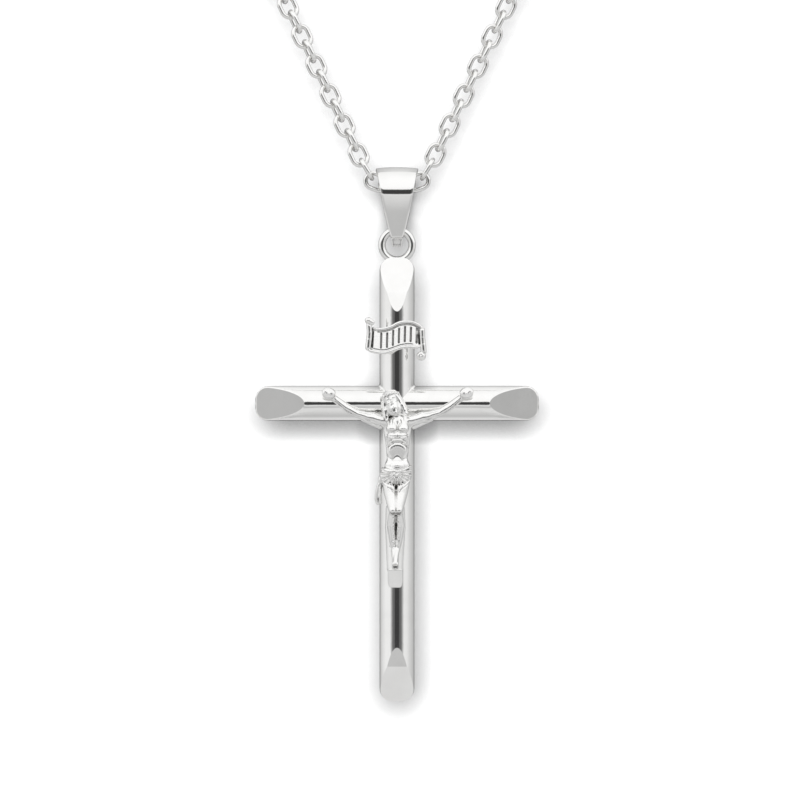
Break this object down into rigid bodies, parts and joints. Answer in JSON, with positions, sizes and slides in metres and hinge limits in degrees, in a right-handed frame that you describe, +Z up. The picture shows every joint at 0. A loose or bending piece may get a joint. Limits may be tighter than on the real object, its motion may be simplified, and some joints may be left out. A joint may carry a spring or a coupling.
{
  "type": "crucifix pendant necklace",
  "caption": "Round-bar crucifix pendant with cast figure, name scroll, ring and tapered bail, hanging on a short run of cable chain.",
  "frame": {"origin": "halfway between the centres of the two rings that end the chain, where a neck would hold it", "axes": "+X to the viewer's right along the cross's arms, -Y out of the front, +Z up along the cross"},
  "size_m": [0.0309, 0.0059, 0.0795],
  "materials": {
    "polished_silver": "mirror polished sterling silver",
    "cast_silver": "cast and polished sterling silver, slightly darker in the recesses",
    "chain_silver": "polished drawn silver wire"
  },
  "bodies": {
    "chain": {"link_l00": "chain_silver", "link_l01": "chain_silver", "link_l02": "chain_silver", "link_l03": "chain_silver", "link_l04": "chain_silver", "link_l05": "chain_silver", "link_l06": "chain_silver", "link_l07": "chain_silver", "link_l08": "chain_silver", "link_l09": "chain_silver", "link_l10": "chain_silver", "link_l11": "chain_silver", "link_l12": "chain_silver", "link_l13": "chain_silver", "link_r00": "chain_silver", "link_r01": "chain_silver", "link_r02": "chain_silver", "link_r03": "chain_silver", "link_r04": "chain_silver", "link_r05": "chain_silver", "link_r06": "chain_silver", "link_r07": "chain_silver", "link_r08": "chain_silver", "link_r09": "chain_silver", "link_r10": "chain_silver", "link_r11": "chain_silver", "link_r12": "chain_silver", "link_r13": "chain_silver", "link_hidden_l": "chain_silver", "link_hidden_r": "chain_silver", "end_ring_left": "chain_silver", "end_ring_right": "chain_silver", "clasp_body": "chain_silver", "clasp_pin": "chain_silver"},
    "bail": {"bail": "polished_silver"},
    "ring": {"cross_ring": "polished_silver"},
    "cross": {"upright_tube": "polished_silver", "arm_tube_left": "polished_silver", "arm_tube_right": "polished_silver", "facet_top": "polished_silver", "facet_bottom": "polished_silver", "facet_left": "polished_silver", "facet_right": "polished_silver", "corpus": "cast_silver", "foot_block": "cast_silver", "titulus_scroll": "cast_silver"},
    "clasp_gate": {"clasp_lever": "chain_silver"}
  },
  "joints": [
    {"name": "bail_swing", "type": "hinge", "parent": "chain", "child": "bail", "pos_m": [0, 0, -0.02066], "axis": [1, 0, 0], "range_deg": [-40, 40]},
    {"name": "ring_swing", "type": "hinge", "parent": "bail", "child": "ring", "pos_m": [0, 0, -0.0251], "axis": [1, 0, 0], "range_deg": [-60, 60]},
    {"name": "cross_sway", "type": "hinge", "parent": "ring", "child": "cross", "pos_m": [0, 0, -0.02662], "axis": [0, 1, 0], "range_deg": [-45, 45]},
    {"name": "clasp_gate", "type": "hinge", "parent": "chain", "child": "clasp_gate", "pos_m": [-0.01296, 0, 0.00327], "axis": [0, 1, 0], "range_deg": [-22, 0], "stiffness_Nm_per_rad": 0.0002, "springref_deg": 2.86}
  ]
}
